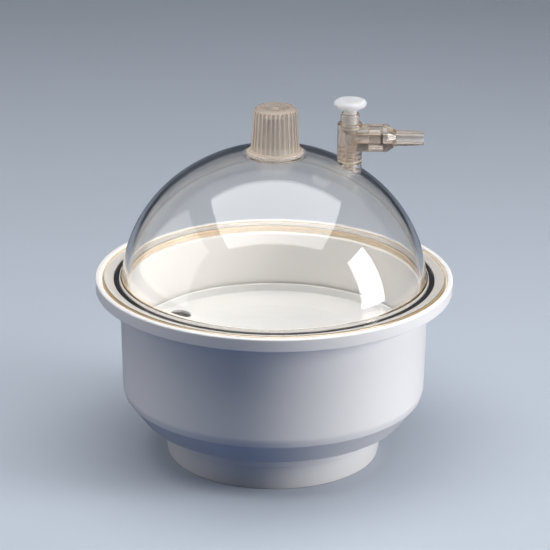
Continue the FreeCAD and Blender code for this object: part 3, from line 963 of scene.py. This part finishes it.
def build_hose_connector(material):
    socket_bottom = WASHER.right + SLACK
    cone_start = HOSE.left + 12.65
    cone_end = cone_start + 6.1
    outline = rounded([
        (STUB_R + SLACK, HOSE.left, 0.2),
        (ARM_R, HOSE.left, 0.5),
        (ARM_R, cone_start, 1.0),
        (NOZZLE_ROOT_R, cone_end, 1.0),
        (NOZZLE_ROOT_R, cone_end + 7.2),
        (4.8, HOSE.right, 0.8),
        (NOZZLE_BORE_R, HOSE.right, 0.3),
        (NOZZLE_BORE_R, socket_bottom),
        (STUB_R + SLACK, socket_bottom, 0.2),
    ])
    place(along_x(lathe("hose_connector_nozzle", outline, 96), HOSE.centre_z), material, "hose_connector")


def build_washer(material):
    outline = rounded([
        (NOZZLE_BORE_R, WASHER.left),
        (WASHER.radius_z, WASHER.left, 0.2),
        (WASHER.radius_z, WASHER.right, 0.2),
        (NOZZLE_BORE_R, WASHER.right),
    ])
    washer = along_x(lathe("connector_washer_ring", outline, 72), WASHER.centre_z)
    place(washer, material, "connector_washer")


# ---- Studio -------------------------------------------------------------------------------------
PALE = (0.50, 0.55, 0.62)
DIM_FLOOR = (0.035, 0.07, 0.16)
DIM_STUDIO = (0.06, 0.07, 0.09)


def build_floor():
    """A wide pale floor. It is dim in reflections, and far out to the sides for rays bent by the clear
    pieces, which gives those pieces their dark outlines."""
    half = 12.0
    mesh = bpy.data.meshes.new("floor")
    corners = [(-half, -half, 0), (half, -half, 0), (half, half, 0), (-half, half, 0)]
    mesh.from_pydata(corners, [], [(0, 1, 2, 3)])
    floor = bpy.data.objects.new("floor", mesh)
    bpy.context.scene.collection.objects.link(floor)
    shader = Shader("pale_floor")
    path = shader.add("ShaderNodeLightPath")
    sideways = shader.add("ShaderNodeMath", {
        0: shader.add("ShaderNodeSeparateXYZ", {"Vector": shader.place}).outputs["X"],
    }, operation="ABSOLUTE").outputs[0]
    outside = shader.add("ShaderNodeMapRange", {"Value": sideways, "From Min": 0.5, "From Max": 0.8})
    bent = shader.add("ShaderNodeMath", {
        0: outside.outputs["Result"],
        1: path.outputs["Is Camera Ray"],
    }, operation="SUBTRACT", use_clamp=True)
    dimmed = shader.add("ShaderNodeMath", {
        0: bent.outputs[0],
        1: path.outputs["Is Reflection Ray"],
    }, operation="MAXIMUM")
    mottle = shader.spread(shader.noise(3, 3), 0.94, 1.0)
    base = shader.add("ShaderNodeBsdfPrincipled", {
        "Base Color": shader.scaled(shader.between(dimmed.outputs[0], PALE, DIM_FLOOR), mottle),
        "Roughness": shader.spread(shader.noise(20, 3), 0.45, 0.6),
    })
    mesh.materials.append(shader.surface(base.outputs["BSDF"]))


def add_light(name, centre, target, width, height, glow, shine):
    """A soft rectangular light: its glow lights matt surfaces, and glossy and clear ones show its shine."""
    for part, radiance in (("glow", glow), ("shine", shine)):
        data = bpy.data.lights.new(name + "_" + part, "AREA")
        data.shape = "RECTANGLE"
        data.size = width
        data.size_y = height
        data.energy = radiance * math.pi * width * height
        data.cycles.use_multiple_importance_sampling = part == "shine"
        light = bpy.data.objects.new(name + "_" + part, data)
        light.location = centre
        light.rotation_euler = (Vector(target) - Vector(centre)).to_track_quat("-Z", "Y").to_euler()
        light.visible_camera = False
        light.visible_diffuse = part == "glow"
        light.visible_glossy = part == "shine"
        light.visible_transmission = part == "shine"
        bpy.context.scene.collection.objects.link(light)


def build_lights():
    add_light(
        "overhead_softbox", (0.025, -0.11, 1.5), (0.025, -0.11, 0),
        width=1.97, height=1.45, glow=2.75, shine=2.6,
    )
    add_light(
        "right_strip", (1.5, -0.38, 0.50), (0, -0.38, 0.50),
        width=0.56, height=1.12, glow=13.5, shine=9.0,
    )
    add_light(
        "left_panel", (-1.5, 0.1, 0.74), (0, 0.1, 0.74),
        width=1.6, height=1.45, glow=1.1, shine=0.9,
    )


def build_world():
    """Pale where the camera sees it, and dim in reflections and through the clear pieces."""
    world = bpy.data.worlds.new("studio")
    world.use_nodes = True
    tree = world.node_tree
    path = tree.nodes.new("ShaderNodeLightPath")
    colour = colour_mix(tree, path.outputs["Is Camera Ray"], DIM_STUDIO, PALE)
    tree.links.new(colour, tree.nodes["Background"].inputs["Color"])
    bpy.context.scene.world = world


CAMERA_ELEVATION = math.radians(20.26)
CAMERA_DISTANCE = 1.79
CAMERA_ROLL = math.radians(0.456)
CAMERA_TARGET = Vector((0, 0, 0.130))
CAMERA_LENS = 167.3
CAMERA_SENSOR = 36.0
CAMERA_SHIFT = 0.0016


def build_camera():
    """Looks slightly down at the seal, with a long lens."""
    data = bpy.data.cameras.new("camera")
    data.lens = CAMERA_LENS
    data.sensor_width = CAMERA_SENSOR
    data.shift_x = CAMERA_SHIFT
    camera = bpy.data.objects.new("camera", data)
    back = Vector((0, -math.cos(CAMERA_ELEVATION), math.sin(CAMERA_ELEVATION)))
    turn = Matrix.Rotation(math.pi / 2 - CAMERA_ELEVATION, 4, "X") @ Matrix.Rotation(CAMERA_ROLL, 4, "Z")
    camera.matrix_world = Matrix.Translation(CAMERA_TARGET + back * CAMERA_DISTANCE) @ turn
    bpy.context.scene.collection.objects.link(camera)
    bpy.context.scene.camera = camera


def set_light_paths():
    """Enough bounces to see through the stacked clear pieces."""
    cycles = bpy.context.scene.cycles
    cycles.max_bounces = 24
    cycles.transmission_bounces = 24
    cycles.transparent_max_bounces = 24
    cycles.diffuse_bounces = 8
    cycles.glossy_bounces = 8
    cycles.sample_clamp_indirect = 8.0
    bpy.context.scene.view_settings.view_transform = "Standard"


# ---- Assembly -----------------------------------------------------------------------------------
white_bowl = moulded_plastic(
    "white_bowl_plastic", (0.90, 0.88, 0.86), (0.87, 0.85, 0.83), roughness=0.36, grain_depth=0.000012,
)
white_plate = moulded_plastic(
    "white_plate_plastic", (0.84, 0.84, 0.83), (0.81, 0.81, 0.805), roughness=0.42, grain_depth=0.00001,
)
white_stem = moulded_plastic(
    "white_stem_plastic", (0.64, 0.64, 0.64), (0.61, 0.61, 0.62), roughness=0.33, grain_depth=0.000006,
    glow=1.0, reach=0.03,
)
clear_lid = clear_plastic("clear_lid_plastic", (0.90, 0.84, 0.75), density=27, edge=LID.radius - 1.3)
clear_knob = clear_plastic("clear_knob_plastic", (0.90, 0.83, 0.74), density=70, cloudy=0.45)
clear_fitting = clear_plastic("clear_fitting_plastic", (0.90, 0.83, 0.74), density=120, cloudy=0.13)
black_rubber = rubber("black_rubber", (0.016, 0.012, 0.010), (0.009, 0.007, 0.006))
soft_seal = milky_silicone("milky_silicone")
gel = silica_gel("silica_gel")

build_bowl(white_bowl)
build_seal_ring(black_rubber)
build_plate(white_plate)
desiccant_heap(gel)
desiccant_grains(gel)
build_dome(clear_lid)
build_knob(clear_knob)
build_cement_bead(clear_lid)
build_stopcock_body(clear_fitting)
build_nipple(clear_fitting)
build_gasket(soft_seal)
build_bush(clear_fitting)
build_stem_seal(soft_seal)
build_stem(white_stem)
build_tip(soft_seal)
build_hose_connector(clear_fitting)
build_washer(black_rubber)

build_floor()
build_lights()
build_world()
build_camera()
set_light_paths()
